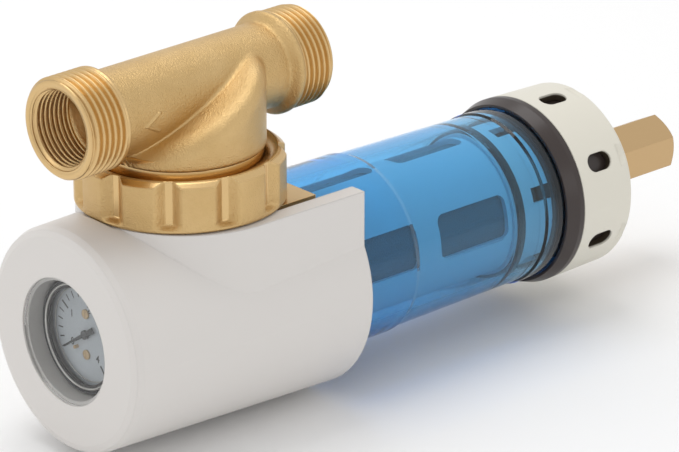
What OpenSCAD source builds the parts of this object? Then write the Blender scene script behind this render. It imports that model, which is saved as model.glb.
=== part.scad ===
// Magnetic system filter: a brass pipe tee, a union nut, a white head cover with a
// pressure gauge, a clear blue bowl with its strainer, and a drain wheel with a magnet plug.
// The pipe run's axis and the union's axis cross at the origin. +Z points up the union,
// and the filter's own axis runs along Y below it, with the gauge facing -Y.

/* [Pipe run] */
// Outer radius of the cast pipe
run_r = 14.1; // [13:0.1:15]
// Radius of the water way in the pipe
run_bore = 10.9; // [9:0.1:11.4]
// Distance from the union axis to the front port's end face
front_reach = 50; // [44:1:66]
// Distance from the union axis to the rear port's end face
rear_reach = 53; // [50:1:70]
// Crest radius of the outside pipe thread (G 1)
male_r = 16.62; // [16.62:0.01:20.96]
// Crest radius of the inside pipe thread (G 3/4)
female_r = 12.06; // [11:0.01:12.06]
// Length of the outside thread
male_len = 14.5; // [10:0.5:16]
// Length of the inside thread
female_len = 14; // [10:0.5:16]
// Radius of the cast collar behind the rear thread
collar_r = 18; // [17:0.1:21]
// Length of that collar
collar_len = 4; // [3:0.5:6]
// Angle of the pipe run from the filter axis, as it hangs
run_turn = 3; // [-20:1:20]

/* [Union] */
// Depth of the tee's shoulder below the run axis
shoulder_drop = 17.5; // [16:0.5:20]
// Radius of the tee's neck
neck_r = 26.8; // [25:0.1:28]
// Step from the tee's neck out to its shoulder
shoulder_step = 0.8; // [0.4:0.1:2]
// Height of the tee's neck below its shoulder
neck_len = 19.5; // [19:0.5:24]
// Radius of the tee's inner spigot
spigot_r = 11; // [9:0.1:13]
// Outer radius of the union nut
nut_r = 34; // [33.4:0.1:38]
// Height of the union nut
nut_h = 16.6; // [15.5:0.1:20]
// Number of grip notches round the nut
notch_count = 11; // [6:1:16]
// Radius of the cutter that leaves a grip notch
notch_r = 4.2; // [3:0.1:5]
// Depth of a grip notch
notch_depth = 1.9; // [1:0.1:2.4]
// Angle of the first grip notch
notch_turn = 19.7; // [0:0.1:60]

/* [Head and cover] */
// Depth of the filter axis below the run axis
axis_drop = 72.2; // [71:0.1:82]
// Distance from the union axis to the cover's front face
cover_front = 48.5; // [48:0.5:60]
// Distance from the union axis to the cover's rear end
cover_rear = 46.5; // [45.5:0.5:56]
// Radius of the cover at its front face
cover_front_r = 37.2; // [37:0.1:45]
// Radius of the cover at its rear end
cover_rear_r = 40.2; // [40:0.1:50]
// Thickness of the cover's wall
cover_wall = 2.6; // [1.5:0.1:2.8]
// Radius of the edge round the cover's front face
cover_edge = 3; // [1:0.5:4]
// Radius of the cover's saddle under the nut
saddle_r = 36; // [35:0.1:38]
// Distance the saddle's round front is set back from the union axis
saddle_back = 3; // [0:0.5:5]
// Radius of the round window in the cover's front
window_r = 21; // [20.6:0.1:24]

/* [Gauge] */
// Radius of the gauge's case
gauge_r = 18.6; // [18.4:0.1:19.2]
// Distance from the cover's front face back to the gauge's bezel
gauge_set_back = 7; // [6:0.5:8]
// Teeth on the pinion
pinion_teeth = 10; // [10:1:14]
// Teeth on a full circle of the sector
sector_teeth = 60; // [50:1:62]
// Tooth module of the movement
tooth_module = 0.3; // [0.26:0.01:0.32]

/* [Bowl] */
// Radius of the bowl's neck and collar
bowl_neck_r = 31.4; // [31:0.1:33]
// Radius of the bowl's tube next to its collar
bowl_r = 30.7; // [30.2:0.1:30.9]
// Narrowing of the tube's radius along its length
bowl_draft = 0.8; // [0.2:0.1:1]
// Wall of the bowl
bowl_wall = 3.4; // [2.5:0.1:3.6]
// Distance from the union axis to the end of the bowl's collar
collar_end = 74; // [64:1:80]
// Distance from the union axis to the end of the bowl
bowl_end = 147; // [140:1:180]

/* [Strainer] */
// Outer radius of the strainer's frame
frame_r = 24; // [20:0.1:24.4]
// Wall of the strainer's frame
frame_wall = 1.8; // [1.2:0.1:2.4]
// Windows round the frame
window_count = 4; // [4:1:8]
// Angle that one window takes
window_angle = 36; // [16:1:40]
// Rows of windows along the frame
window_rows = 2; // [1:1:2]
// Length of one window
row_len = 31; // [16:0.5:32]
// Bar between two rows of windows
row_bar = 10; // [5:0.5:16]

/* [Drain end] */
// Radius of the drain wheel
wheel_r = 33.1; // [32.9:0.1:36]
// Length of the drain wheel
wheel_len = 26; // [24:0.5:34]
// Length of the dark flange between the bowl and the wheel
flange_len = 6.7; // [6:0.1:9]
// Number of drain holes and finger scallops round the wheel
hole_count = 7; // [5:1:8]
// Length of one drain hole along the axis
hole_len = 11; // [8:0.5:12]
// Width of one drain hole
hole_w = 6.4; // [4:0.1:8]
// Angle of the first drain hole
hole_turn = 28.5; // [0:0.5:60]
// Width of the plug's hexagon across its flats
hex_af = 19; // [17:1:22]
// Distance that the hexagon stands out of the wheel
hex_out = 43; // [14:1:48]
// Angle of the hexagon's first corner
hex_turn = 27; // [0:1:60]
// Radius of the magnets
magnet_r = 7.6; // [5:0.1:8]
// Number of magnets in the stack
magnet_count = 5; // [3:1:7]

/* [Hidden] */
$fn = 96;
running = 0.05;          // radial clearance of a part that turns in its seat
loose = 0.3;             // clearance between parts that only pass each other
thin = 0.01;             // overshoot of a cut
seal_gap = 0.04;         // clearance round a seal ring
lead_in = 1;             // chamfer on the end of a thread

// union, measured down from the run axis
seat_low = 3.4;
seat_tilt = 26.5;
nut_top = shoulder_drop + 1;
nut_bottom = nut_top + nut_h;
nut_lip = 5.5;
ring_h = 2.6;
ring_top = nut_top + nut_lip + loose;
ring_bottom = ring_top + ring_h;
ring_r = neck_r + 2.5;
shoulder_r = neck_r + shoulder_step;
ring_groove_r = neck_r - 1.5;
socket_top = ring_bottom + loose;
socket_r = neck_r + 3.2;
neck_bottom = shoulder_drop + neck_len;
gasket_h = 1.8;
gasket_in = 20;
spigot_bottom = neck_bottom + 8;
spigot_wall = 2.5;
neck_seal_top = neck_bottom - 5;
seal_w = 2.4;
seal_d = 1.9;

// cover and head, along the filter axis from the union axis
rim_drop = nut_bottom + 0.4;
cover_in_front_r = cover_front_r - cover_wall;
cover_in_rear_r = cover_rear_r - cover_wall;
front_wall = 3;
lens_set_back = 0.5;
lens_h = 1.4;
skirt_in_r = window_r - 1.2;
skirt_wall = 1.6;
skirt_end = 2;
head_wall = 3.4;
head_front = 28.5;
chamber_r = 28.4;
barrel_r = 32;
socket_out_r = bowl_neck_r + head_wall;
head_rear = cover_rear - 12.5;
lug_at = bowl_neck_r + 2.8;
lug_r = 2.5;
rib_w = 2;
ear_h = 2.5;
screw_head_r = 2.1;
screw_shank_r = 1.25;
socket_in = 22;
return_r = spigot_r + 2.6;
return_bore = spigot_r + running;
pad_w = 26.5;
pad_h = 3;
mouth_w = 30;

// gauge, along the filter axis
bezel_front = cover_front - gauge_set_back;
bezel_w = 2.6;
bezel_len = 2.2;
glass_front = bezel_front - 0.6;
glass_h = 1;
case_back = head_front + 0.8;
case_wall = 0.8;
dial_front = glass_front - glass_h - 1.7;
dial_h = 0.6;
pointer_front = dial_front + 1.1;
pointer_h = 0.35;
pointer_len = 13.6;
pointer_tail = 5.2;
pointer_angle = 213;
hub_r = 1.5;
arbor_r = 0.6;
pin_angle = 229;
pin_at = 7.4;
pin_r = 0.6;
screw_at = 7;
screw_r = 1.6;
plate_h = 0.5;
front_plate = dial_front - dial_h - 0.4;
gear_front = front_plate - plate_h - 0.3;
gear_h = 1.2;
back_plate = gear_front - gear_h - 0.3;
pinion_r = pinion_teeth * tooth_module / 2;
sector_r = sector_teeth * tooth_module / 2;
gear_reach = pinion_r + sector_r;
pivot_angle = 290;
sector_span = 62;
link_at = 3.4;
link_len = 4;
tube_front = back_plate - plate_h - 0.5;
tube_w = 3;
tube_h = 1.6;
tube_r = 13;
tube_start = 250;
tube_sweep = 215;
tube_gap = 14.4;
post_at = 3.4;
stem_r = 4.86;

// bowl
neck_front = socket_in + 2.2;
bowl_in_r = bowl_neck_r - bowl_wall - 0.7;
bowl_end_r = bowl_r - bowl_draft;
bowl_in_end_r = bowl_end_r - bowl_wall;
bowl_lug_len = 6;

// strainer
frame_front = head_rear + 2;
cap_front = bowl_end - 23.5;
end_bar = 2;
window_turn = 11;
spigot_in = 10;
mesh_r = frame_r - frame_wall - 0.1;
mesh_wall = 0.4;
cap_len = 18;
cap_r = frame_r + 1;
ring_seat = 3.2;

// drain end
flange_front = bowl_end - 3.1;
flange_back = flange_front + flange_len;
flange_r = bowl_end_r + 1.7;
sleeve_r = wheel_r - 3.4;
sleeve_wall = 2.4;
wheel_front = flange_back + loose;
wheel_back = wheel_front + wheel_len;
wheel_wall = 2.6;
sleeve_back = wheel_back - wheel_wall - loose;
hole_mid = wheel_front + 10.6;
clip_w = 1.2;
clip_d = 1.4;
boss_r = 15;
clip_front = wheel_back + loose;
boss_back = clip_front + clip_w + 1;
plug_r = 10;
pocket_r = magnet_r + 2.2;
pocket_front = frame_front + 6;
pocket_wall = 1.4;
hex_r = hex_af / 2 / cos(30);
washer_h = 1.5;
collar_h = 3;
plug_front = bowl_end + 2;
hex_front = boss_back + washer_h + 2 * running;
rod_r = 2;
magnet_gap = 3;
magnet_front = pocket_front + pocket_wall + 1.5;
magnet_back = plug_front - 3;
magnet_pitch = (magnet_back - magnet_front + magnet_gap) / magnet_count;

// Local Z is laid along the filter axis (+Y), with local Y pointing down.
module on_axis(s = 0) translate([0, s, -axis_drop]) rotate([-90, 0, 0]) children();

// A local angle that shows as the given angle seen from the gauge's side.
module at_angle(a) rotate([0, 0, -a]) children();

// Local Z is laid along the pipe run, which is turned on the union.
module on_run() rotate([0, 0, run_turn]) rotate([-90, 0, 0]) children();

// A ring of rectangular section between two radii, from z0 to z1.
module ring(r_in, r_out, z0, z1) {
    rotate_extrude() translate([r_in, z0]) square([r_out - r_in, z1 - z0]);
}

// A ring of round section, flattened where its seat holds it.
module seal(r_in, r_out, z0, z1) {
    rotate_extrude() intersection() {
        translate([r_in, z0]) square([r_out - r_in, z1 - z0]);
        translate([(r_in + r_out) / 2, (z0 + z1) / 2]) circle(r = 0.56 * max(r_out - r_in, z1 - z0), $fn = 48);
    }
}

// ---- pipe run and union ----

module tee_body() color("goldenrod") difference() {
    union() {
        on_run() rotate_extrude() polygon([
            [0, -front_reach], [male_r - lead_in, -front_reach],
            [male_r, lead_in - front_reach], [male_r, male_len - front_reach - lead_in],
            [run_r, male_len + 1.5 - front_reach], [run_r, rear_reach - male_len - collar_len - 4],
            [collar_r, rear_reach - male_len - collar_len], [collar_r, rear_reach - male_len],
            [male_r, rear_reach - male_len], [male_r, rear_reach - lead_in],
            [male_r - lead_in, rear_reach], [0, rear_reach]]);
        mirror([0, 0, 1]) rotate_extrude() polygon([
            [0, 0], [spigot_r + 4, 4], [shoulder_r - 4, shoulder_drop - 5], [shoulder_r, shoulder_drop - 1],
            [shoulder_r, shoulder_drop], [neck_r, shoulder_drop + 0.5], [neck_r, ring_top], [ring_groove_r, ring_top], [ring_groove_r, ring_bottom],
            [neck_r, ring_bottom], [neck_r, neck_seal_top], [neck_r - seal_d, neck_seal_top],
            [neck_r - seal_d, neck_seal_top + seal_w], [neck_r, neck_seal_top + seal_w],
            [neck_r, neck_bottom], [spigot_r - seal_d / 2, neck_bottom],
            [spigot_r - seal_d / 2, neck_bottom + 1], [spigot_r, neck_bottom + 1],
            [spigot_r, neck_bottom + 3], [spigot_r - seal_d / 2, neck_bottom + 3],
            [spigot_r - seal_d / 2, neck_bottom + 3 + seal_w], [spigot_r, neck_bottom + 3 + seal_w],
            [spigot_r, spigot_bottom], [0, spigot_bottom]]);
        seat_hump();
    }
    for (end = [-1, 1]) on_run() {
        reach = end > 0 ? rear_reach : front_reach;
        mouth = end * reach;
        mirror([0, 0, end > 0 ? 0 : 1]) {
            translate([0, 0, reach - female_len]) cylinder(r = female_r, h = female_len + 1);
            translate([0, 0, reach - lead_in]) cylinder(r1 = female_r, r2 = female_r + lead_in + 0.4, h = lead_in + thin);
        }
    }
    on_run() translate([0, 0, -front_reach + 2]) cylinder(r = run_bore, h = front_reach - 2 - spigot_r - 1);
    on_run() translate([0, 0, 2 - spigot_r]) cylinder(r = run_bore, h = rear_reach - 4 + spigot_r);
    translate([0, 0, -spigot_bottom - 1]) cylinder(r = spigot_r - spigot_wall, h = spigot_bottom + 1);
    ring_drop();
}

// The raised seat of the tee: a disc under a plane that climbs towards the rear port.
module seat_hump() {
    rotate([0, 0, run_turn]) intersection() {
        translate([0, 0, -shoulder_drop]) cylinder(r = shoulder_r - 0.6, h = shoulder_drop + run_r);
        translate([0, -shoulder_r, seat_low - shoulder_drop]) rotate([seat_tilt, 0, 0])
            translate([-shoulder_r, -shoulder_r, -60]) cube([2 * shoulder_r, 4 * shoulder_r, 60]);
    }
}

// Two drops from the front port to the outer ring of the union.
module ring_drop() {
    for (side = [-1, 1]) rotate([0, 0, run_turn + side * 24]) translate([0, 6 - neck_r + 4.5, -neck_bottom - 1])
        cylinder(r = 4.5, h = neck_bottom + 1);
}

module nut_retaining_ring() color("silver") difference() {
    mirror([0, 0, 1]) ring(ring_groove_r + running, ring_r, ring_top + running, ring_bottom - running);
    translate([0, -1.5, -ring_bottom]) cube([ring_r + 1, 3, ring_h]);
}

module neck_o_ring() color("dimgray") mirror([0, 0, 1])
    seal(neck_r - seal_d + seal_gap, neck_r + seal_gap / 2, neck_seal_top + seal_gap, neck_seal_top + seal_w - seal_gap);

module spigot_o_ring() color("dimgray") mirror([0, 0, 1])
    seal(spigot_r - seal_d / 2 + seal_gap, spigot_r + seal_gap / 2,
         neck_bottom + 3 + seal_gap, neck_bottom + 3 + seal_w - seal_gap);

module union_nut() color("darkgoldenrod") difference() {
    mirror([0, 0, 1]) rotate_extrude() polygon([
        [neck_r + loose, nut_top + 1.9], [neck_r + 4.2, nut_top], [nut_r - 1.5, nut_top],
        [nut_r, nut_top + 1.8], [nut_r, nut_bottom - 0.8], [nut_r - 0.8, nut_bottom],
        [socket_r + running, nut_bottom], [socket_r + running, socket_top - loose],
        [ring_r + loose, socket_top - loose], [ring_r + loose, nut_top + nut_lip],
        [neck_r + loose, nut_top + nut_lip]]);
    for (k = [0:notch_count - 1])
        rotate([0, 0, notch_turn + k * 360 / notch_count])
            translate([nut_r - notch_depth + notch_r, 0, -nut_bottom - 1]) cylinder(r = notch_r, h = nut_h + 2);
}

module union_gasket() color("dimgray") mirror([0, 0, 1])
    ring(gasket_in, neck_r - 0.4, neck_bottom + running, neck_bottom + gasket_h - running);

// ---- head and cover ----

module head_body() color("darkgoldenrod") difference() {
    union() {
        difference() {
            union() {
                mirror([0, 0, 1]) translate([0, 0, socket_top]) cylinder(r = socket_r, h = axis_drop - socket_top - gauge_r - 1.5);
                on_axis() rotate_extrude() polygon([
                    [0, -head_front], [barrel_r, -head_front], [barrel_r, socket_in - 4],
                    [socket_out_r, socket_in - 1], [socket_out_r, head_rear], [0, head_rear]]);
                translate([-pad_w, 0, -rim_drop - pad_h - 0.6]) cube([2 * pad_w, head_rear, pad_h]);
                for (side = [-1, 1]) on_axis(head_rear - 9) translate([side * lug_at, 0, 0]) cylinder(r = lug_r, h = 9);
            }
            on_axis() rotate_extrude() polygon([
                [0, head_wall - head_front], [chamber_r, head_wall - head_front], [chamber_r, socket_in],
                [bowl_neck_r + running, socket_in], [bowl_neck_r + running, head_rear + 1], [0, head_rear + 1]]);
            mirror([0, 0, 1]) rotate_extrude() polygon([
                [0, socket_top - 1], [neck_r + running, socket_top - 1], [neck_r + running, neck_bottom + gasket_h],
                [gasket_in + 1, neck_bottom + gasket_h], [gasket_in + 1, axis_drop], [0, axis_drop]]);
        }
        translate([0, 0, -axis_drop - return_r]) cylinder(r = return_r, h = axis_drop + return_r - neck_bottom - gasket_h - 0.4);
        on_axis() cylinder(r = return_r, h = frame_front - 7);
        for (a = [45, 135, 225, 315]) rotate([0, 0, a]) translate([return_r - 1, -1.5, -neck_bottom - gasket_h - 8])
            cube([gasket_in - return_r + 3, 3, 7]);
    }
    translate([0, 0, -axis_drop]) cylinder(r = return_bore, h = axis_drop);
    on_axis() cylinder(r = return_bore, h = frame_front);
    on_axis(-head_front - 1) cylinder(r = stem_r + running, h = head_wall + 2);
    for (side = [-1, 1]) on_axis(head_rear - 8) translate([side * lug_at, 0, 0]) cylinder(r = screw_shank_r + running, h = 9);
}

module cover_outside() {
    on_axis() rotate_extrude() polygon([
        [0, -cover_front], [cover_front_r - cover_edge, -cover_front],
        [cover_front_r - 0.29 * cover_edge, 0.29 * cover_edge - cover_front],
        [cover_front_r + 0.05, cover_edge - cover_front], [cover_rear_r, cover_rear], [0, cover_rear]]);
}

// Plan of the saddle: round at the front, straight sides back to the cover's end.
module saddle(r, back, top, bottom) {
    translate([0, 0, -bottom]) linear_extrude(height = bottom - top) union() {
        translate([0, saddle_back]) circle(r = r);
        translate([-r, saddle_back]) square([2 * r, back - saddle_back]);
    }
}

module cover_shell() color("whitesmoke") difference() {
    union() {
        difference() {
            difference() {
                union() {
                    cover_outside();
                    saddle(saddle_r, cover_rear, rim_drop, axis_drop);
                }
                on_axis() rotate_extrude() polygon([
                    [0, front_wall - cover_front], [cover_in_front_r, front_wall - cover_front],
                    [cover_in_rear_r, cover_rear + 1], [0, cover_rear + 1]]);
            }
            saddle(saddle_r - cover_wall, cover_rear + 2, rim_drop + cover_wall, axis_drop - 6);
        }
        on_axis() rotate_extrude() polygon([
            [skirt_in_r, front_wall - cover_front - 1], [skirt_in_r + skirt_wall, front_wall - cover_front - 1],
            [skirt_in_r + skirt_wall, skirt_end - bezel_front], [skirt_in_r, skirt_end - bezel_front]]);
        cover_ribs();
    }
    translate([0, 0, -axis_drop]) cylinder(r = socket_r + loose, h = axis_drop);
    translate([0, 0, -rim_drop]) cylinder(r = nut_r + loose, h = rim_drop);
    translate([-pad_w - loose, 0, -axis_drop]) cube([2 * (pad_w + loose), head_rear, axis_drop]);
    translate([-mouth_w, socket_r / 2, -axis_drop]) cube([2 * mouth_w, cover_rear, axis_drop]);
    on_axis(-cover_front - 1) cylinder(r = window_r, h = 1 + lens_set_back + lens_h);
    on_axis(-cover_front) cylinder(r = skirt_in_r, h = cover_front - bezel_front);
    for (side = [-1, 1]) on_axis(head_rear - 1) translate([side * lug_at, 0, 0])
        cylinder(r = screw_shank_r + loose, h = ear_h + 2);
}

// Ribs that centre the cover on the head, and the two ears its screws pass through.
module cover_ribs() {
    for (a = [-40, 40, 140, 220]) on_axis(head_rear - 12) rotate([0, 0, a])
        translate([socket_out_r + running, -rib_w / 2, 0]) cube([cover_in_rear_r - socket_out_r + 0.5, rib_w, 12]);
    for (side = [-1, 1]) on_axis(head_rear + running) translate([side * (lug_at + 2.5), 0, ear_h / 2])
        cube([5 - loose, 6, ear_h], center = true);
}

module cover_screws() color("silver") for (side = [-1, 1])
    on_axis(head_rear + ear_h + 2 * running) translate([side * lug_at, 0, 0]) {
        difference() {
            cylinder(r = screw_head_r, h = 1.6);
            translate([0, 0, 0.8]) cylinder(r = 1.2, h = 1, $fn = 6);
        }
        translate([0, 0, -9]) cylinder(r = screw_shank_r, h = 9.1);
    }

module window_lens() color("gainsboro") on_axis(lens_set_back - cover_front)
    cylinder(r = window_r - running, h = lens_h - running);

// ---- gauge ----

module gauge_case() color("silver") on_axis() difference() {
    translate([0, 0, -bezel_front + bezel_len]) cylinder(r = gauge_r, h = bezel_front - bezel_len - case_back);
    translate([0, 0, -bezel_front]) cylinder(r = gauge_r - case_wall, h = bezel_front - case_back - case_wall);
    translate([0, 0, -case_back - 2]) cylinder(r = stem_r + running, h = 3);
}

module gauge_bezel() color("dimgray") on_axis(-bezel_front) difference() {
    cylinder(r = gauge_r + 0.3, h = bezel_len - running);
    translate([0, 0, -1]) cylinder(r = gauge_r - bezel_w, h = 4);
    translate([0, 0, bezel_front - glass_front]) cylinder(r = gauge_r - case_wall, h = 4);
}

module gauge_glass() color("lightblue") on_axis(-glass_front + running)
    cylinder(r = gauge_r - case_wall - running, h = glass_h);

module gauge_dial() color("white") on_axis(-dial_front) difference() {
    cylinder(r = gauge_r - case_wall - 0.2, h = dial_h);
    translate([0, 0, -1]) cylinder(r = arbor_r + 0.4, h = 3);
    for (side = [0, 180]) at_angle(270 + side) translate([screw_at, 0, -1]) cylinder(r = 0.8, h = 3);
    at_angle(pin_angle) translate([pin_at, 0, -1]) cylinder(r = pin_r + running, h = 3);
}

module dial_screws() color("peru") on_axis(-dial_front) for (side = [0, 180])
    at_angle(270 + side) translate([screw_at, 0, 0]) {
        difference() {
            translate([0, 0, -0.6]) cylinder(r = screw_r, h = 0.58);
            translate([-screw_r, -0.2, -0.7]) cube([2 * screw_r, 0.4, 0.3]);
        }
        translate([0, 0, -0.1]) cylinder(r = 0.7, h = dial_h + 0.4);
    }

module stop_pin() color("peru") on_axis(-dial_front) at_angle(pin_angle)
    translate([pin_at, 0, -1.4]) cylinder(r = pin_r, h = dial_h + 1.4);

module gauge_socket() color("darkgoldenrod") on_axis() difference() {
    union() {
        translate([0, 0, -case_back + running]) cylinder(r = stem_r, h = case_back - head_front + head_wall + 2);
        translate([0, 0, -case_back - case_wall - 1.2]) cylinder(r = stem_r + 1.2, h = 1.15);
        translate([0, 0, -case_back - case_wall - 0.1]) cylinder(r = stem_r, h = case_wall + 0.2);
        at_angle(tube_start) translate([0, -3, -case_back - case_wall - 1.2]) cube([tube_r + 2, 6, 1.15]);
        at_angle(tube_start) translate([tube_r - 2, -3, -tube_front - 0.2]) cube([4, 6, tube_front - case_back - case_wall - 0.5]);
        for (x = [-post_at, post_at]) at_angle(tube_start) translate([x, 0, -back_plate + plate_h + running])
            cylinder(r = 0.8, h = back_plate - plate_h - case_back - case_wall - 1);
    }
    translate([0, 0, -case_back]) cylinder(r = 1.2, h = 12);
}

module socket_washer() color("dimgray") on_axis(-case_back + 0.05) ring(stem_r + running, stem_r + 3, 0, 0.7);

module bourdon_tube() color("peru") on_axis() at_angle(tube_start)
    rotate([0, 0, -tube_sweep - tube_gap]) rotate_extrude(angle = tube_sweep)
        translate([tube_r - tube_h / 2, -tube_front]) square([tube_h, tube_w]);

module movement_frame() color("darkgoldenrod") on_axis() at_angle(pivot_angle) {
    for (plate = [-front_plate, -back_plate]) difference() {
        translate([-9, -3.5, plate]) cube([gear_reach + 10.6, 7, plate_h]);
        for (hole = [0, gear_reach]) translate([hole, 0, plate - 1]) cylinder(r = arbor_r + running, h = 3);
    }
    for (side = [-1, 1]) translate([-2.2, side * 2.2, -front_plate + plate_h]) cylinder(r = 0.6, h = front_plate - back_plate - plate_h);
}

module pointer() color("black") on_axis() difference() {
    union() {
        at_angle(pointer_angle) {
            translate([0, 0, -pointer_front]) linear_extrude(height = pointer_h) polygon([
                [-pointer_tail, -1.1], [-pointer_tail, 1.1], [0, 0.7], [pointer_len, 0.15],
                [pointer_len, -0.15], [0, -0.7]]);
            translate([0, 0, -pointer_front - 0.2]) cylinder(r = hub_r, h = 0.9);
        }
        translate([0, 0, -pointer_front]) cylinder(r = arbor_r, h = pointer_front - gear_front + 0.02);
    }
    translate([0, 0, -pointer_front - 0.4]) cylinder(r = 0.4, h = 0.4);
}

// Teeth as narrow trapezoids, thin enough to run free in the gap they mesh with.
module teeth(count, first, last, r) {
    pitch = 360 / count;
    half = 0.5 * 0.42 * pitch;
    for (k = [first:last]) rotate([0, 0, k * pitch]) polygon([
        [(r - 1.2 * tooth_module) * cos(half * 1.3), (r - 1.2 * tooth_module) * sin(half * 1.3)],
        [(r + 0.8 * tooth_module) * cos(half * 0.5), (r + 0.8 * tooth_module) * sin(half * 0.5)],
        [(r + 0.8 * tooth_module) * cos(half * 0.5), -(r + 0.8 * tooth_module) * sin(half * 0.5)],
        [(r - 1.2 * tooth_module) * cos(half * 1.3), -(r - 1.2 * tooth_module) * sin(half * 1.3)]]);
}

module pinion() color("gold") on_axis() at_angle(pivot_angle) translate([0, 0, -gear_front + 0.05]) {
    linear_extrude(height = gear_h - 0.1) union() {
        circle(r = pinion_r - 1.1 * tooth_module, $fn = 48);
        rotate([0, 0, 180 / pinion_teeth]) teeth(pinion_teeth, 0, pinion_teeth - 1, pinion_r);
    }
    translate([0, 0, gear_h - 0.1]) cylinder(r = arbor_r, h = 0.9);
}

module sector_gear() color("gold") on_axis() at_angle(pivot_angle) translate([gear_reach, 0, -gear_front + 0.05]) {
    last = floor(sector_span / 2 / (360 / sector_teeth));
    linear_extrude(height = gear_h - 0.1) union() {
        rotate([0, 0, 180]) teeth(sector_teeth, -last + 4, last + 4, sector_r);
        difference() {
            polygon([[0, 0], for (k = [-last + 3:last + 5])
                (sector_r - 1.1 * tooth_module) * [cos(180 + k * 360 / sector_teeth), sin(180 + k * 360 / sector_teeth)]]);
            circle(r = sector_r - 2.6, $fn = 64);
        }
        polygon([[1.2, 0], [-sector_r + 2, -2.4], [-sector_r + 2, 3.4], [-1.2, 1.6]]);
        circle(r = 1.6, $fn = 48);
        difference() {
            translate([0, -0.9]) square([4.4, 1.8]);
            translate([link_at, 0]) circle(r = 0.4, $fn = 32);
        }
    }
    translate([0, 0, -plate_h - 0.6]) cylinder(r = arbor_r, h = gear_h + 2 * plate_h + 1);
}

module gauge_link() color("peru") on_axis() at_angle(pivot_angle)
    translate([gear_reach + link_at, 0, -gear_front + gear_h]) {
        rotate([0, 0, 100]) translate([-0.8, -0.8, 0]) cube([link_len, 1.6, 0.35]);
        translate([0, 0, -gear_h]) cylinder(r = 0.35, h = gear_h + 0.1);
    }

// ---- bowl and strainer ----

module bowl_o_ring() color("dimgray") on_axis()
    seal(bowl_in_r + 0.4, bowl_neck_r - seal_gap, socket_in + seal_gap, neck_front - seal_gap);

module bowl() color("deepskyblue", 0.5) on_axis() rotate_extrude() polygon([
    [bowl_in_r, neck_front], [bowl_neck_r, neck_front], [bowl_neck_r, collar_end],
    [bowl_r, collar_end + 2], [bowl_end_r, flange_front - 3 - bowl_lug_len],
    [bowl_end_r + 0.6, flange_front - 2 - bowl_lug_len], [bowl_end_r + 0.6, bowl_end],
    [bowl_in_end_r + 0.5, bowl_end], [bowl_in_end_r + 0.5, cap_front + 1],
    [bowl_in_end_r, cap_front - 1]]);

module strainer_frame() color("white") on_axis() difference() {
    rotate_extrude() polygon([
        [spigot_r - 3, frame_front - spigot_in], [spigot_r - 2 * running, frame_front - spigot_in],
        [spigot_r - 2 * running, frame_front],
        [frame_r, frame_front], [frame_r, cap_front], [frame_r - frame_wall, cap_front],
        [frame_r - frame_wall, frame_front + 2], [spigot_r - 3, frame_front + 2]]);
    for (row = [0:window_rows - 1], k = [0:window_count - 1])
        at_angle(window_turn + k * 360 / window_count)
            translate([0, 0, cap_front - end_bar - row_len - row * (row_len + row_bar)]) window_cut();
}

module window_cut() {
    width = 2 * frame_r * sin(window_angle / 2);
    translate([frame_r - 5, 0, 0]) rotate([0, 90, 0]) linear_extrude(height = 8) union() {
        translate([-row_len, -width / 2 + 3]) square([row_len, width - 6]);
        translate([3 - row_len, -width / 2]) square([row_len - 6, width]);
        for (x = [3 - row_len, -3], y = [3 - width / 2, width / 2 - 3]) translate([x, y]) circle(r = 3, $fn = 32);
    }
}

module strainer_mesh() color("gray") on_axis()
    ring(mesh_r - mesh_wall, mesh_r, frame_front + 2 + running, cap_front - running);

module strainer_cap() color("white") on_axis() difference() {
    rotate_extrude() polygon([
        [pocket_r + running, cap_front + running], [cap_r, cap_front + running],
        [cap_r, cap_front + 1], [cap_r - 1.4, cap_front + 1], [cap_r - 1.4, cap_front + 1 + ring_seat],
        [cap_r, cap_front + 1 + ring_seat], [cap_r, cap_front + cap_len],
        [cap_r - 2, cap_front + cap_len], [cap_r - 2, cap_front + 6], [pocket_r + running, cap_front + 6]]);
    for (k = [0:5]) {
        at_angle(k * 60 + 20) translate([cap_r - 5, -2.5, cap_front + 10]) cube([8, 5, 9]);
        at_angle(k * 60) translate([(pocket_r + cap_r - 2) / 2, 0, cap_front - 1]) cylinder(r = 3, h = 9);
    }
}

module strainer_o_ring() color("black") on_axis()
    seal(cap_r - 1.4 + seal_gap, bowl_in_end_r + 0.5 - seal_gap, cap_front + 1 + seal_gap, cap_front + 1 + ring_seat - seal_gap);

module strainer_gasket() color("dimgray") on_axis()
    ring(spigot_r + running, spigot_r + 2.4, frame_front - 7 + running + 0.2, frame_front - running);

module magnet_pocket() color("silver") on_axis() difference() {
    translate([0, 0, pocket_front]) cylinder(r = pocket_r, h = bowl_end + 1 - pocket_front);
    translate([0, 0, pocket_front + pocket_wall]) cylinder(r = pocket_r - pocket_wall, h = bowl_end);
}

module pocket_o_ring() color("dimgray") on_axis()
    seal(pocket_r + seal_gap, pocket_r + 2, bowl_end - 4.9, bowl_end - 3.1);

// ---- drain end ----

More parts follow.
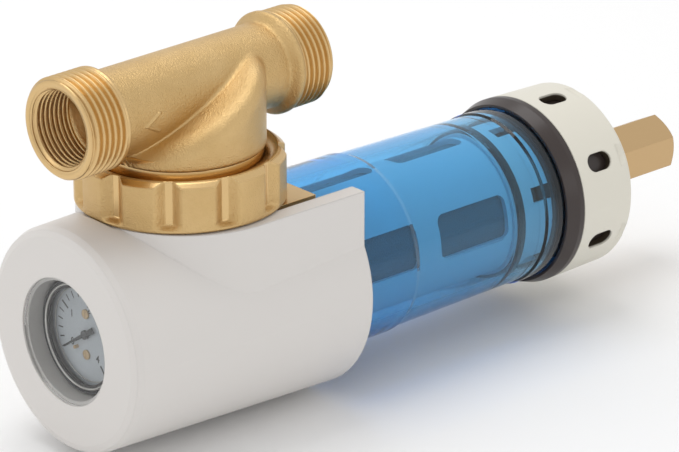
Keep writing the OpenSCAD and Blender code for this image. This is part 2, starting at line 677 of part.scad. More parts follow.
module end_cap() color([0.23, 0.2, 0.19]) on_axis() difference() {
    rotate_extrude() polygon([
        [0, bowl_end - 3], [pocket_r + 4, bowl_end - 3], [pocket_r + 4, bowl_end + running],
        [bowl_in_end_r - 2, bowl_end + running], [bowl_in_end_r - 2, bowl_end - 5],
        [bowl_in_end_r + 0.4, bowl_end - 5], [bowl_in_end_r + 0.4, bowl_end - 4.4],
        [bowl_in_end_r - 1.4, bowl_end - 4.4], [bowl_in_end_r - 1.4, bowl_end - 2],
        [bowl_in_end_r + 0.4, bowl_end - 2], [bowl_in_end_r + 0.4, bowl_end + running],
        [bowl_end_r + 0.65, bowl_end + running], [bowl_end_r + 0.65, flange_front],
        [flange_r, flange_front], [wheel_r, flange_back - 2], [wheel_r, flange_back],
        [sleeve_r, flange_back], [sleeve_r, wheel_front + 3], [sleeve_r - 1, wheel_front + 3],
        [sleeve_r - 1, wheel_front + 5], [sleeve_r, wheel_front + 5],
        [sleeve_r, sleeve_back - 5], [sleeve_r - 1, sleeve_back - 5], [sleeve_r - 1, sleeve_back - 3],
        [sleeve_r, sleeve_back - 3], [sleeve_r, sleeve_back], [sleeve_r - sleeve_wall, sleeve_back],
        [sleeve_r - sleeve_wall, flange_back + 1], [boss_r, flange_back + 1],
        [boss_r, clip_front - running], [boss_r - clip_d, clip_front - running],
        [boss_r - clip_d, clip_front + clip_w + running], [boss_r, clip_front + clip_w + running],
        [boss_r, boss_back], [0, boss_back]]);
    translate([0, 0, bowl_end - 4]) cylinder(r = pocket_r + running, h = 5 + running);
    translate([0, 0, bowl_end]) cylinder(r = plug_r + running, h = 60);
    for (k = [0:hole_count - 1]) at_angle(hole_turn + (k + 0.5) * 360 / hole_count) drain_slot(sleeve_r - 5);
    for (k = [0:5]) at_angle(k * 60) translate([20, 0, bowl_end - 6]) cylinder(r = 2.2, h = 14);
}

// One drain hole: a slot with round ends, cut outwards from radius r.
module drain_slot(r) {
    for (end = [-1, 1]) translate([r, 0, hole_mid + end * (hole_len - hole_w) / 2])
        rotate([0, 90, 0]) cylinder(r = hole_w / 2, h = 12);
    translate([r, -hole_w / 2, hole_mid - (hole_len - hole_w) / 2]) cube([12, hole_w, hole_len - hole_w]);
}

module end_cap_o_ring() color("dimgray") on_axis()
    seal(bowl_in_end_r - 1.4 + seal_gap, bowl_in_end_r + 0.5 - seal_gap, bowl_end - 4.4 + seal_gap, bowl_end - 2 - seal_gap);

module wheel_o_rings() color("dimgray") on_axis() for (z = [wheel_front + 3, sleeve_back - 5])
    seal(sleeve_r - 1 + seal_gap, sleeve_r + seal_gap / 2, z + seal_gap, z + 2 - seal_gap);

module drain_wheel() color([0.87, 0.85, 0.8]) on_axis() difference() {
    rotate_extrude() polygon([
        [sleeve_r + running, wheel_front], [wheel_r, wheel_front], [wheel_r - 0.5, wheel_back - 3],
        [wheel_r - 3.4, wheel_back], [boss_r + 3.4, wheel_back], [boss_r + 0.1, wheel_back - 1.6],
        [boss_r + 0.1, wheel_back - wheel_wall], [sleeve_r + running, wheel_back - wheel_wall]]);
    for (k = [0:hole_count - 1]) {
        at_angle(hole_turn + k * 360 / hole_count) drain_slot(sleeve_r - 2);
        at_angle(hole_turn + k * 360 / hole_count) translate([wheel_r + 6.6, 0, wheel_back - 7.5])
            rotate([0, 12, 0]) cylinder(r = 8.5, h = 14);
    }
}

module wheel_clip() color("silver") on_axis(clip_front) difference() {
    ring(boss_r - clip_d + running, boss_r + 2.2, 0, clip_w);
    translate([0, -2, -1]) cube([boss_r + 4, 4, clip_w + 2]);
}

module plug_washer() color("peru") on_axis(boss_back + running)
    ring(plug_r + running, plug_r + 3.5, 0, washer_h);

module plug_o_ring() color("dimgray") on_axis()
    seal(plug_r - 1.6 + seal_gap, plug_r + seal_gap / 2, plug_front + 4 + seal_gap, plug_front + 6.4 - seal_gap);

module magnet_plug() color("burlywood") on_axis() {
    hex_back = wheel_back + hex_out;
    rotate_extrude() polygon([
        [0, magnet_front], [rod_r, magnet_front], [rod_r, plug_front], [plug_r, plug_front],
        [plug_r, plug_front + 4], [plug_r - 1.6, plug_front + 4], [plug_r - 1.6, plug_front + 6.4],
        [plug_r, plug_front + 6.4], [plug_r, hex_front], [plug_r + 3.2, hex_front],
        [plug_r + 3.2, hex_front + collar_h], [0, hex_front + collar_h]]);
    intersection() {
        at_angle(hex_turn) translate([0, 0, hex_front + 1]) cylinder(r = hex_r, h = hex_back - hex_front - 1, $fn = 6);
        translate([0, 0, hex_front + 1]) rotate_extrude() polygon([
            [0, 0], [hex_r + 1, 0], [hex_r + 1, hex_back - hex_front - 2.6], [hex_r - 1.6, hex_back - hex_front - 1],
            [0, hex_back - hex_front - 1]]);
    }
}

module magnet_stack() color("dimgray") on_axis() for (k = [0:magnet_count - 1])
    ring(rod_r + running, magnet_r, magnet_front + k * magnet_pitch, magnet_front + (k + 1) * magnet_pitch - magnet_gap);

tee_body();
nut_retaining_ring();
neck_o_ring();
spigot_o_ring();
union_nut();
union_gasket();
head_body();
cover_shell();
cover_screws();
window_lens();
gauge_case();
gauge_bezel();
gauge_glass();
gauge_dial();
dial_screws();
stop_pin();
gauge_socket();
socket_washer();
bourdon_tube();
movement_frame();
pointer();
pinion();
sector_gear();
gauge_link();
bowl_o_ring();
bowl();
strainer_frame();
strainer_mesh();
strainer_cap();
strainer_o_ring();
strainer_gasket();
magnet_pocket();
pocket_o_ring();
end_cap();
end_cap_o_ring();
wheel_o_rings();
drain_wheel();
wheel_clip();
plug_washer();
plug_o_ring();
magnet_plug();
magnet_stack();
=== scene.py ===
"""A magnetic system filter, hung from its brass tee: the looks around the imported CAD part."""

import bmesh
import bpy
import numpy as np
from mathutils import Matrix, Vector


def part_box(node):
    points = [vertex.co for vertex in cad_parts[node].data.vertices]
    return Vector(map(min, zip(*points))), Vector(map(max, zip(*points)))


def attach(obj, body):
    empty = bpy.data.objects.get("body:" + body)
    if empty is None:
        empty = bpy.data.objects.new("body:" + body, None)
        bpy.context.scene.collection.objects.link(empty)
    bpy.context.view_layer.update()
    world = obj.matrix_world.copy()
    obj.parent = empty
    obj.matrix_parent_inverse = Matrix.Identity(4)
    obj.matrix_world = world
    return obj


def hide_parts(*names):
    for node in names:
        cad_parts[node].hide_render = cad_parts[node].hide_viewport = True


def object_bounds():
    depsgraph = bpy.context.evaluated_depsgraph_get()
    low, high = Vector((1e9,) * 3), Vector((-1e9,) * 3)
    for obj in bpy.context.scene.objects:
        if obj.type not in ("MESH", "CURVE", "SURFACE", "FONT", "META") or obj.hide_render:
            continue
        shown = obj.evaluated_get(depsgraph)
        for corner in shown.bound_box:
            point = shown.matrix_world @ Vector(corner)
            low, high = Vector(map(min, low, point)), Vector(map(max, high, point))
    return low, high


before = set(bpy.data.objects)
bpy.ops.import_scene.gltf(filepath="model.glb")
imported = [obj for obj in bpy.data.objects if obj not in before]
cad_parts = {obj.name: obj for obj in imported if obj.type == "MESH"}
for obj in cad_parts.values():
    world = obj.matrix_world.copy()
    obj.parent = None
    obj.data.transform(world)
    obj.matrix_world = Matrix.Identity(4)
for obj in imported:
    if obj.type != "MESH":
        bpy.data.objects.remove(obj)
cad_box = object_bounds()
scene = bpy.context.scene

# ---- Camera ----
# A long lens on the gauge's side, above and to the right of the filter.
azimuth, elevation = np.radians(48.3), np.radians(21.96)
camera_reach = 1.1346
right = np.array([np.cos(azimuth), np.sin(azimuth), 0])
ahead = np.array([-np.sin(azimuth) * np.cos(elevation), np.cos(azimuth) * np.cos(elevation), -np.sin(elevation)])
above = np.cross(right, ahead)
aim = 0.05064 * right - 0.04249 * above
camera = bpy.data.objects.new("camera", bpy.data.cameras.new("camera"))
camera.data.sensor_width = 36
camera.data.lens = 190.9
camera.matrix_world = Matrix.Translation(Vector(aim - ahead * camera_reach)) @ Matrix(
    (right, above, -ahead)).transposed().to_4x4()
scene.collection.objects.link(camera)
scene.camera = camera

# ---- Tee casting ----
# The tee's body is sand-cast brass: a pipe with a round seat under it, cut off by a slanting plane, with a fillet in
# every inside corner. It is one surface round the pipe's axis, and its inside is a plain bore: the passages down to
# the neck are in the CAD solid only.
run_turn = np.radians(3.0)
pipe_r, collar_r, seat_r, seat_bottom = 14.15, 17.1, 27.6, -17.4
cast_front, collar_start, cast_rear = -35.6, 34.8, 39.2


def linear(colour):
    """sRGB hex to the linear colour that a shader takes."""
    c = np.array([int(colour[k:k + 2], 16) for k in (1, 3, 5)]) / 255
    c = np.where(c <= 0.04045, c / 12.92, ((c + 0.055) / 1.055) ** 2.4)
    return (*map(float, c), 1.0)


def add(tree, kind, inputs=(), **settings):
    """Adds a shader node, makes its settings, and sets or links its inputs."""
    node = tree.nodes.new("ShaderNode" + kind)
    for key, value in settings.items():
        setattr(node, key, value)
    for key, value in dict(inputs).items():
        if isinstance(value, bpy.types.NodeSocket):
            tree.links.new(value, node.inputs[key])
        else:
            node.inputs[key].default_value = value
    return node


def finish(name, colour, roughness, metallic=0.0, grain=(), edge=0.0, blotch="", **more):
    """A principled material: grain lists (bump size, depth) in metres, edge rounds corners, blotch mixes in a colour."""
    m = bpy.data.materials.new(name)
    m.use_nodes = True
    tree = m.node_tree
    tree.nodes.clear()
    place = add(tree, "TexCoord").outputs["Object"]
    tint = linear(colour)
    if blotch:
        cloud = add(tree, "TexNoise", {"Vector": place, "Scale": 90.0, "Detail": 5.0, "Roughness": 0.6})
        ramp = add(tree, "MapRange", {"Value": cloud.outputs["Fac"], "From Min": 0.35, "From Max": 0.65})
        mix = add(tree, "Mix", {6: tint, 7: linear(blotch), 0: ramp.outputs["Result"]}, data_type="RGBA")
        tint = mix.outputs[2]
    values = {"Base Color": tint, "Roughness": roughness, "Metallic": metallic}
    values.update(more)
    normal = add(tree, "Bevel", {"Radius": edge}, samples=6).outputs["Normal"] if edge else None
    for size, depth in grain:
        noise = add(tree, "TexNoise", {"Vector": place, "Scale": 1 / size, "Detail": 2.0, "Roughness": 0.55})
        bump = add(tree, "Bump", {"Height": noise.outputs["Fac"], "Distance": depth, "Strength": 1.0})
        if normal:
            tree.links.new(normal, bump.inputs["Normal"])
        normal = bump.outputs["Normal"]
    if normal:
        values["Normal"] = normal
    surface = add(tree, "BsdfPrincipled", values)
    add(tree, "OutputMaterial", {"Surface": surface.outputs[0]})
    return m


def skin(name, points, look, body, nodes=()):
    """A closed grid of points, rows by columns, in metres, as one smooth surface that rides on a body."""
    rows, cols = points.shape[:2]
    k = np.arange(rows * cols).reshape(rows, cols)
    quads = np.stack([k[:-1, :-1], k[1:, :-1], k[1:, 1:], k[:-1, 1:]], axis=-1).reshape(-1, 4)
    mesh = bpy.data.meshes.new(name)
    mesh.from_pydata(points.reshape(-1, 3), [], quads)
    bm = bmesh.new()
    bm.from_mesh(mesh)
    bmesh.ops.remove_doubles(bm, verts=bm.verts, dist=2e-6)
    bmesh.ops.recalc_face_normals(bm, faces=bm.faces)
    bm.to_mesh(mesh)
    bm.free()
    mesh.shade_smooth()
    mesh.materials.append(look)
    piece = bpy.data.objects.new(name, mesh)
    scene.collection.objects.link(piece)
    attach(piece, body)
    if nodes:
        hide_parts(*nodes)
    return piece


def along_run(side, reach, up):
    """Millimetres across, along and above the pipe run, as points in metres."""
    side, reach, up = np.broadcast_arrays(side, reach, up)
    x = side * np.cos(run_turn) - reach * np.sin(run_turn)
    y = side * np.sin(run_turn) + reach * np.cos(run_turn)
    return np.stack([x, y, up], axis=-1) / 1000


def soft_min(a, b, k):
    """The smaller of two distances, with a fillet of about k where they cross."""
    h = np.clip(0.5 + 0.5 * (b - a) / k, 0, 1)
    return b + (a - b) * h - k * h * (1 - h)


def soft_max(a, b, k):
    """The larger of two distances, rounded in the same way."""
    return -soft_min(-a, -b, k)


def casting_depth(x, y, z):
    """How far outside the casting's skin a point is, in millimetres: the pipe's distance joined softly to the seat's."""
    flare = np.clip((y - collar_start) / 3.4, 0, 1)
    pipe = np.hypot(x, z) - pipe_r - (collar_r - pipe_r) * flare * flare * (3 - 2 * flare)
    wall = np.hypot(x, y) - seat_r
    slant = soft_max((z - 0.5 * y - 0.1 + 3.5 * (x < 0)) / np.sqrt(1.25), z - 10.0, 3.0)
    seat = soft_max(soft_max(wall, slant, 6.0), seat_bottom - z, 1.4)
    return soft_min(pipe, seat, 1.3)


# Brass as it left a sand mould: a satin metal with grit of 0.3 and 0.6 mm and faint patches of tarnish.
cast_brass = finish("cast_brass", "#D6B681", 0.38, 1.0, grain=[(0.0006, 0.00022), (0.0003, 0.0001)], blotch="#CFAE78")

# Rays leave a line inside the pipe that sinks towards the front, so that none runs along the slanting face.
turn = np.cumsum(np.r_[-6.0, np.tile(np.r_[np.full(165, 0.4), np.full(76, 1.5)], 2)])
turn = np.radians(turn)
reach = np.linspace(cast_front, cast_rear, 186)
depth = np.linspace(1.5, 46, 160)
origin = np.clip(0.5 * reach - 9, -11.5, 0) * np.clip((cast_rear - 4 - np.abs(reach)) / 8, 0, 1)
T, Y, R = np.meshgrid(turn, reach, depth, indexing="ij")
inside = casting_depth(R * np.cos(T), Y, origin[None, :, None] + R * np.sin(T))
last = inside.shape[2] - 2 - np.argmax((inside <= 0)[:, :, ::-1][:, :, 1:], axis=2)
low = np.take_along_axis(inside, last[..., None], 2)[..., 0]
high = np.take_along_axis(inside, last[..., None] + 1, 2)[..., 0]
outer = depth[last] + (depth[1] - depth[0]) * np.clip(low / (low - high), 0, 1)
skin_x = outer * np.cos(T[:, :, 0])
skin_z = origin[None, :] + outer * np.sin(T[:, :, 0])

# The flow arrow is two raised strokes on the pipe's side, pointing at the front port.
arc = np.arctan2(skin_z, skin_x)
from_axis = np.hypot(skin_x, skin_z)
tip, ends = (-26.0, np.radians(-6)), ((-20.7, np.radians(7)), (-20.4, np.radians(-18)))
raised = np.zeros_like(from_axis)
for end in ends:
    a = np.array([tip[0], tip[1] * pipe_r])
    b = np.array([end[0], end[1] * pipe_r]) - a
    px, py = Y[:, :, 0] - a[0], arc * pipe_r - a[1]
    s = np.clip((px * b[0] + py * b[1]) / (b @ b), 0, 1)
    off = np.hypot(px - s * b[0], py - s * b[1])
    raised = np.maximum(raised, 0.6 * np.clip(1.35 - off / 0.45, 0, 1) * (from_axis < 15.5))
lift = 1 + raised / from_axis
skin_x, skin_z = skin_x * lift, skin_z * lift
bore = 12.4 * np.ones((len(turn), 2))
x = np.concatenate([skin_x, bore * np.cos(turn)[:, None], skin_x[:, :1]], axis=1)
z = np.concatenate([skin_z, bore * np.sin(turn)[:, None], skin_z[:, :1]], axis=1)
reach = np.r_[reach, cast_rear, cast_front, cast_front][None, :]
skin("tee_casting", along_run(x, reach, z), cast_brass, "tee")

# ---- Ports ----
# Each end of the run is turned: a G 1 thread outside and a G 3/4 thread inside, both right-handed helices,
# with a flat end face between them and a plain bore behind.

# Brass cut with a threading tool: brighter than the casting, with tool marks under a millimetre wide.
port_brass = finish("port_brass", "#DAB984", 0.33, 1.0, grain=[(0.0009, 0.00008)])


def thread(phase):
    """The depth of a rounded thread, 0 at its crest and 1 at its root, at a phase counted in turns."""
    w = np.abs(2 * (phase % 1) - 1)
    w = np.clip((w - 0.12) / 0.76, 0, 1)
    return 1 - w * w * (3 - 2 * w)


def port(name, sign, reach_end, back):
    """One port turned about the run: from a blind disc that ends its bore, out over both threads, back to the casting.

    Each thread's radius falls from crest to root with the phase, which is depth over pitch less the share of a turn.
    """
    t_in = np.linspace(0, 15, 86)
    t_out = np.linspace(0.8, back, 90)
    bore = [(0, 36.0), (11.0, 36.0), (11.0, 15.6)]
    face = [(13.6, 0.3), (13.9, 0.0), (15.3, 0.0), (15.8, 0.35)]
    tail = [(14.2, back), (12.4, back), (12.4, 37.5), (0, 37.5)]
    a = np.linspace(0, 2 * np.pi, 241)[:, None]
    d_in = t_in[::-1][None, :]
    d_out = t_out[None, :]
    fade = np.clip((15 - d_in) / 1.5, 0, 1)
    r_in = 12.06 + 1.16 * (1 - thread(sign * d_in / 1.814 - a / (2 * np.pi)))
    r_in = 12.06 + (r_in - 12.06) * fade
    r_in = np.maximum(r_in, 13.4 - 1.2 * d_in)
    run_out = np.clip((back - 0.7 - d_out) / 1.6, 0, 1)
    r_out = 16.62 - 1.45 * thread(sign * d_out / 2.309 - a / (2 * np.pi)) * run_out
    r_out = np.minimum(r_out, 15.4 + 0.9 * d_out)
    bore, face, tail = (np.array(rows, float).T[:, None] for rows in (bore, face, tail))
    parts = [bore, (r_in, d_in), face, (r_out, d_out), tail]
    r = np.concatenate([np.broadcast_to(p[0], (len(a), p[0].shape[1])) for p in parts], axis=1)
    d = np.concatenate([np.broadcast_to(p[1], (len(a), p[1].shape[1])) for p in parts], axis=1)
    points = along_run(r * np.cos(a), sign * (reach_end - d), r * np.sin(a))
    return skin(name, points, port_brass, "tee")


port("front_port", -1, 50.0, 15.2)
port("rear_port", 1, 53.0, 14.2)

# ---- Neck ----
# Below its seat the tee is turned to a neck with grooves for the nut's retaining ring and the seals, and a
# thinner spigot for the return water.
neck = [(8.5, -14.0), (26.8, -14.0), (26.8, -24.3), (25.3, -24.3), (25.3, -26.9), (26.8, -26.9), (26.8, -32.0),
        (24.9, -32.0), (24.9, -34.4), (26.8, -34.4), (26.8, -37.0), (11.0, -37.0), (11.0, -40.0), (10.05, -40.0),
        (10.05, -42.4), (11.0, -42.4), (11.0, -45.0), (8.5, -45.0), (8.5, -14.0)]


def turned_profile(corners, soft=0.12):
    """A closed profile with each corner cut back along both its sides, by soft millimetres or by 0.45 of the side."""
    here = np.array(corners[:-1], float)
    ways = np.stack([np.roll(here, 1, axis=0) - here, np.roll(here, -1, axis=0) - here], axis=1)
    share = np.minimum(soft / np.linalg.norm(ways, axis=2, keepdims=True), 0.45)
    cut = (here[:, None] + ways * share).reshape(-1, 2)
    return np.concatenate([cut, cut[:1]]).T


def dress(look, *names):
    """Gives CAD nodes a material and leaves their meshes as they are."""
    for name in names:
        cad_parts[name].data.materials.clear()
        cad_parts[name].data.materials.append(look)


# Brass as turned on a lathe, spring steel wire, and nitrile rubber with its dull moulded skin.
turned_brass = finish("turned_brass", "#DAB984", 0.27, 1.0, edge=0.0003)
steel = finish("steel", "#B9B7B3", 0.28, 1.0, edge=0.0001)
rubber = finish("rubber", "#15181B", 0.5)
r, h = turned_profile(neck)
a = np.linspace(0, 2 * np.pi, 145)[:, None]
points = np.stack(np.broadcast_arrays(r * np.cos(a), r * np.sin(a), h), axis=-1) / 1000
skin("tee_neck", points, turned_brass, "tee", ["tee_body"])
dress(steel, "nut_retaining_ring")
dress(rubber, "neck_o_ring", "spigot_o_ring")

# ---- Union nut ----
# A cast brass ring with rounded grip notches; its top is chamfered and turned, so that the chamfer
# cuts an arch over each notch.
nut_r, nut_top, nut_low, notch_count, notch_turn = 34.0, -18.5, -35.1, 11, np.radians(19.7)
a = np.linspace(0, 2 * np.pi, 793)[:, None]
lean = np.abs((a - notch_turn + np.pi / notch_count) % (2 * np.pi / notch_count) - np.pi / notch_count) * nut_r
flank = np.clip((5.0 - lean) / 4.3, 0, 1)
notch = 2.6 * flank * flank * (3 - 2 * flank)
h_side = np.linspace(nut_low + 0.5, nut_top - 0.25, 46)[None, :]
fade = np.clip((h_side - nut_low - 0.8) / 1.6, 0, 1)
side = np.minimum(nut_r - notch * fade * fade * (3 - 2 * fade), 31.6 + 1.35 * (nut_top - h_side))
top = [(31.3, nut_top), (30.9, nut_top), (27.1, nut_top - 1.9), (27.1, nut_top - 5.5), (29.7, nut_top - 5.5),
       (29.7, -26.9), (30.05, -26.9), (30.05, nut_low), (32.6, nut_low)]
top_r, top_h = np.broadcast_to(np.array(top).T[:, None], (2, len(a), len(top)))
foot_r = side[:, :1] - 0.5
r = np.concatenate([side, top_r[:, :-1], np.minimum(top_r[:, -1:], foot_r), foot_r, side[:, :1]], axis=1)
h_side = np.broadcast_to(h_side, side.shape)
h = np.concatenate([h_side, top_h, np.full_like(foot_r, nut_low), h_side[:, :1]], axis=1)
nut = skin("nut_casting", np.stack([r * np.cos(a), r * np.sin(a), h], axis=-1) / 1000, cast_brass, "nut", ["union_nut"])
nut.data.materials.append(turned_brass)
centres = np.empty(len(nut.data.polygons) * 3)
nut.data.polygons.foreach_get("center", centres)
centres = centres.reshape(-1, 3) * 1000
radius = np.hypot(centres[:, 0], centres[:, 1])
turned = ((centres[:, 2] > nut_top - 2.4) & (radius > 31.6 + 1.35 * (nut_top - centres[:, 2]) - 0.15)) | (radius < 31.5)
nut.data.polygons.foreach_set("material_index", turned.astype(np.int32))
dress(rubber, "union_gasket")

# ---- Head, cover and window ----
# A turned and cast brass head hangs from the nut inside a cover of moulded white ABS, which is screwed on from
# behind. The window is a disc of clear acrylic let into the cover's front.


def clear(name, colour, roughness=0.03, ior=1.49, shade=0.75, absorb=()):
    """A clear plastic, tinted at its surface and, when absorb is (colour, density per metre), through its thickness."""
    m = finish(name, colour, roughness, IOR=ior, **{"Transmission Weight": 1.0})
    tree = m.node_tree
    out = next(n for n in tree.nodes if n.type == "OUTPUT_MATERIAL")
    surface = next(n for n in tree.nodes if n.type == "BSDF_PRINCIPLED")
    tint = [1 - shade * (1 - c) for c in linear(colour)[:3]] + [1.0]
    through = add(tree, "BsdfTransparent", {"Color": tint})
    ray = add(tree, "LightPath")
    mix = add(tree, "MixShader", {0: ray.outputs["Is Shadow Ray"], 1: surface.outputs[0], 2: through.outputs[0]})
    tree.links.new(mix.outputs[0], out.inputs["Surface"])
    if absorb:
        body = add(tree, "VolumeAbsorption", {"Color": linear(absorb[0]), "Density": absorb[1]})
        tree.links.new(body.outputs[0], out.inputs["Volume"])
    return m


# ABS from a fine-spark mould, which gives a soft satin sheen, and acrylic with thin glossy edges.
cover_white = finish("cover_white", "#D9D5D1", 0.42, edge=0.0008, grain=[(0.0009, 0.000004)])
lens_clear = clear("lens_clear", "#FAFBFB", ior=1.25)
dress(turned_brass, "head_body")
dress(cover_white, "cover_shell")
dress(steel, "cover_screws")
dress(lens_clear, "window_lens")

# ---- Gauge ----
# A pressure gauge with a tube movement: a steel case with a dark bezel, a glass, a white enamelled dial held by two
# screws, and a black hand. Its dial is printed with an arc of ticks and a number at each long one.

# Painted steel with a dull sheen, matt enamel, matt printing ink, and brass with the marks of a milling cutter.
bezel_dark = finish("bezel_dark", "#2F2B2A", 0.35, 0.3)
dial_white = finish("dial_white", "#CBD0D6", 0.4)
print_black = finish("print_black", "#09090B", 0.5)
milled_brass = finish("hex_brass", "#CBAC80", 0.42, 1.0, edge=0.0006, grain=[(0.0008, 0.00004)])
dress(steel, "gauge_case", "gauge_link")
dress(bezel_dark, "gauge_bezel")
dress(lens_clear, "gauge_glass")
dress(dial_white, "gauge_dial")
dress(milled_brass, "dial_screws", "stop_pin")
dress(turned_brass, "gauge_socket", "bourdon_tube", "movement_frame", "pinion", "sector_gear")
dress(rubber, "socket_washer")
dress(print_black, "pointer")

dial_low, dial_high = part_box("gauge_dial")
axis_z, dial_y = (dial_low[2] + dial_high[2]) / 2, dial_low[1]
zero, sweep, marks, numbers, number_r = 213.0, 265.0, 20, 5, 0.0088
tick = np.arange(marks + 1)
angle = np.radians(zero - sweep * tick / marks)
inner = np.where(tick % 5 == 0, 11.0, 12.2)[:, None]
half = np.where(tick % 5 == 0, 0.36, 0.22)[:, None]
spoke = np.stack([np.cos(angle), np.sin(angle)], axis=1)
across = np.stack([-spoke[:, 1], spoke[:, 0]], axis=1) * half
corners = [spoke * inner + across, spoke * inner - across, spoke * 14.6 - across, spoke * 14.6 + across]
flat = np.stack(corners, axis=1).reshape(-1, 2) / 1000
ticks_mesh = bpy.data.meshes.new("dial_ticks")
ticks_mesh.from_pydata(np.stack([flat[:, 0], np.full(len(flat), dial_y - 0.00004), axis_z + flat[:, 1]], axis=1), [],
                       np.arange(len(flat)).reshape(-1, 4))
ticks_mesh.materials.append(print_black)
ticks = bpy.data.objects.new("dial_ticks", ticks_mesh)
scene.collection.objects.link(ticks)
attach(ticks, "filter")
for k in range(numbers):
    angle = np.radians(zero - sweep * k / (numbers - 1))
    text = bpy.data.curves.new("dial_number", "FONT")
    text.offset = 0.00006
    text.body, text.size, text.align_x, text.align_y = str(k), 0.0036, "CENTER", "CENTER"
    letter = bpy.data.objects.new("dial_number", text)
    number_mesh = bpy.data.meshes.new_from_object(letter)
    bpy.data.objects.remove(letter)
    place = Matrix.Translation((number_r * np.cos(angle), dial_y - 0.00005, axis_z + number_r * np.sin(angle)))
    number_mesh.transform(place @ Matrix.Rotation(np.pi / 2, 4, "X"))
    number_mesh.materials.clear()
    number_mesh.materials.append(print_black)
    number = bpy.data.objects.new("dial_number_%d" % k, number_mesh)
    scene.collection.objects.link(number)
    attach(number, "filter")

# The bezel's edge is a bright rolled lip with a dark line outside it, and a thin lip holds the dial.
bezel_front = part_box("gauge_bezel")[0][1]


def hoop(name, hoop_r, wire_r, y, look):
    """A ring of round section about the filter's axis, sizes in metres."""
    a, b = np.meshgrid(np.linspace(0, 2 * np.pi, 145), np.linspace(0, 2 * np.pi, 17), indexing="ij")
    r = hoop_r + wire_r * np.cos(b)
    points = np.stack([r * np.cos(a), y + wire_r * np.sin(b), axis_z + r * np.sin(a)], axis=-1)
    return skin(name, points, look, "filter")


hoop("bezel_lip", 0.0173, 0.00048, bezel_front, steel)
hoop("bezel_seal_line", 0.0184, 0.00035, bezel_front, rubber)
hoop("dial_lip", 0.0157, 0.00022, dial_y - 0.0003, steel)

# ---- Bowl ----
# The bowl is moulded in one piece in clear blue plastic, with a wall of 3.4 mm and a thread at its mouth.
# It screws into the head and seals on a rubber ring.

# The blue is in the wall's thickness, so the edges look deeper than the middle, and the moulded skin is glossy.
bowl_blue = clear("bowl_blue", "#E6F7FB", absorb=("#14DAFF", 185.0))
dress(bowl_blue, "bowl")
dress(rubber, "bowl_o_ring")

# ---- Strainer ----
# A moulded frame with two rows of windows carries a tube of fine steel mesh. The mesh's grain is drawn at 0.5 mm,
# coarser than the real weave, which would be too fine to see.

# Moulded polypropylene, satin and a little blue behind the bowl, and woven steel wire that looks dark and grained.
strainer_grey = finish("strainer_grey", "#C9D6DC", 0.5)
strainer_cloth = finish("strainer_cloth", "#5F7078", 0.55, 0.3, grain=[(0.0005, 0.0002)])
dress(strainer_grey, "strainer_frame", "strainer_cap")
dress(strainer_cloth, "strainer_mesh")
dress(rubber, "strainer_o_ring", "strainer_gasket")
dress(steel, "magnet_pocket")
dress(rubber, "pocket_o_ring")

# ---- Drain end ----
# A dark brown cap moulded in nylon closes the bowl. A cream acetal wheel turns on its sleeve to open the drain, sealed
# by two rings and held by a wire clip.

# Polished nylon shows sharp highlights on near black, and acetal is satin with softly worn edges.
cap_brown = finish("cap_brown", "#352B28", 0.3, edge=0.0005)
cream = "#DDD9CC"
wheel_cream = finish("wheel_cream", cream, 0.42, edge=0.0007, grain=[(0.0009, 0.000004)])
dress(cap_brown, "end_cap")
dress(wheel_cream, "drain_wheel")
dress(rubber, "end_cap_o_ring", "wheel_o_rings")
dress(steel, "wheel_clip")

# Painted shade in the wheel's holes: below its skin, and only along the holes' length, the cream is painted dark brown
# to stand for the shade inside each hole.
wheel_low, wheel_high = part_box("drain_wheel")
under_skin, at_skin, holes_middle, holes_half = 0.0319, 0.0324, 0.0107, 0.0065
tree = wheel_cream.node_tree
surface = next(n for n in tree.nodes if n.type == "BSDF_PRINCIPLED")
place = add(tree, "SeparateXYZ", {0: add(tree, "TexCoord").outputs["Object"]})
up = add(tree, "Math", {0: place.outputs[2], 1: -(wheel_low[2] + wheel_high[2]) / 2}, operation="ADD")
side_squared = add(tree, "Math", {0: place.outputs[0], 1: 2.0}, operation="POWER")
up_squared = add(tree, "Math", {0: up.outputs[0], 1: 2.0}, operation="POWER")
radius = add(tree, "Math", {0: side_squared.outputs[0], 1: up_squared.outputs[0]}, operation="ADD")
deep = add(tree, "MapRange", {"Value": radius.outputs[0], "From Min": under_skin ** 2, "From Max": at_skin ** 2,
                              "To Min": 1.0, "To Max": 0.0})
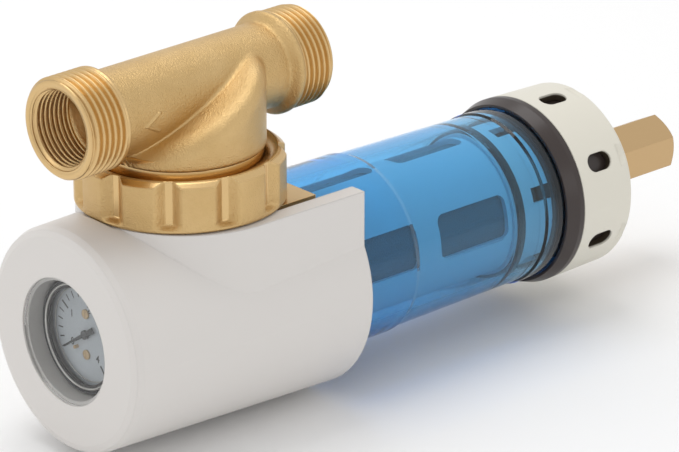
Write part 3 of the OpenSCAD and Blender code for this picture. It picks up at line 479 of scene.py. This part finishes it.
near = add(tree, "Math", {0: place.outputs[1], 1: wheel_low[1] + holes_middle, 2: holes_half}, operation="COMPARE")
hole_shade_mask = add(tree, "Math", {0: deep.outputs[0], 1: near.outputs[0]}, operation="MULTIPLY")
# The dark brown here is painted shade, not the acetal's own colour.
mix = add(tree, "Mix", {6: linear(cream), 7: linear("#3E3428"), 0: hole_shade_mask.outputs[0]}, data_type="RGBA")
tree.links.new(mix.outputs[2], surface.inputs["Base Color"])

# ---- Magnet plug ----
# A brass plug, turned from bar with a milled hexagon, carries five magnets on a rod. It screws into the end cap and
# seals on a fibre washer and a rubber ring.

# Nickel plate is a bright, faintly warm mirror, and vulcanised fibre a matt red brown.
magnet_nickel = finish("magnet_nickel", "#B9B5AE", 0.2, 1.0, edge=0.0002)
fibre = finish("fibre", "#6A2E22", 0.6)
dress(milled_brass, "magnet_plug")
dress(magnet_nickel, "magnet_stack")
dress(fibre, "plug_washer")
dress(rubber, "plug_o_ring")

# ---- Stage ----
# A plain pale floor, wide soft lights overhead and at the sides, and a white sky.
floor_mesh = bpy.data.meshes.new("floor")
low = cad_box[0][2] - 0.0005
floor_mesh.from_pydata([(-6, -6, low), (6, -6, low), (6, 6, low), (-6, 6, low)], [], [(0, 1, 2, 3)])
floor_mesh.materials.append(finish("floor_white", "#F7F7F7", 0.9))
floor = bpy.data.objects.new("floor", floor_mesh)
scene.collection.objects.link(floor)
world = bpy.data.worlds.new("studio")
world.use_nodes = True
world.node_tree.nodes["Background"].inputs[0].default_value = (1, 1, 1, 1)
world.node_tree.nodes["Background"].inputs[1].default_value = 0.82
scene.world = world
scene.view_settings.view_transform = "Standard"
lamps = (("top", (-0.35, 0.1, 1.1), 0.8, 4.5), ("left", (-0.6, -1.3, 0.5), 0.6, 1.2),
         ("right", (1.2, 0.3, 0.3), 0.6, 0.6))
for name, spot, size, power in lamps:
    light = bpy.data.objects.new(name, bpy.data.lights.new(name, "AREA"))
    light.data.size, light.data.energy = size, power
    light.location = spot
    light.rotation_euler = (Vector((0, 0.05, -0.05)) - Vector(spot)).to_track_quat("-Z", "Y").to_euler()
    scene.collection.objects.link(light)
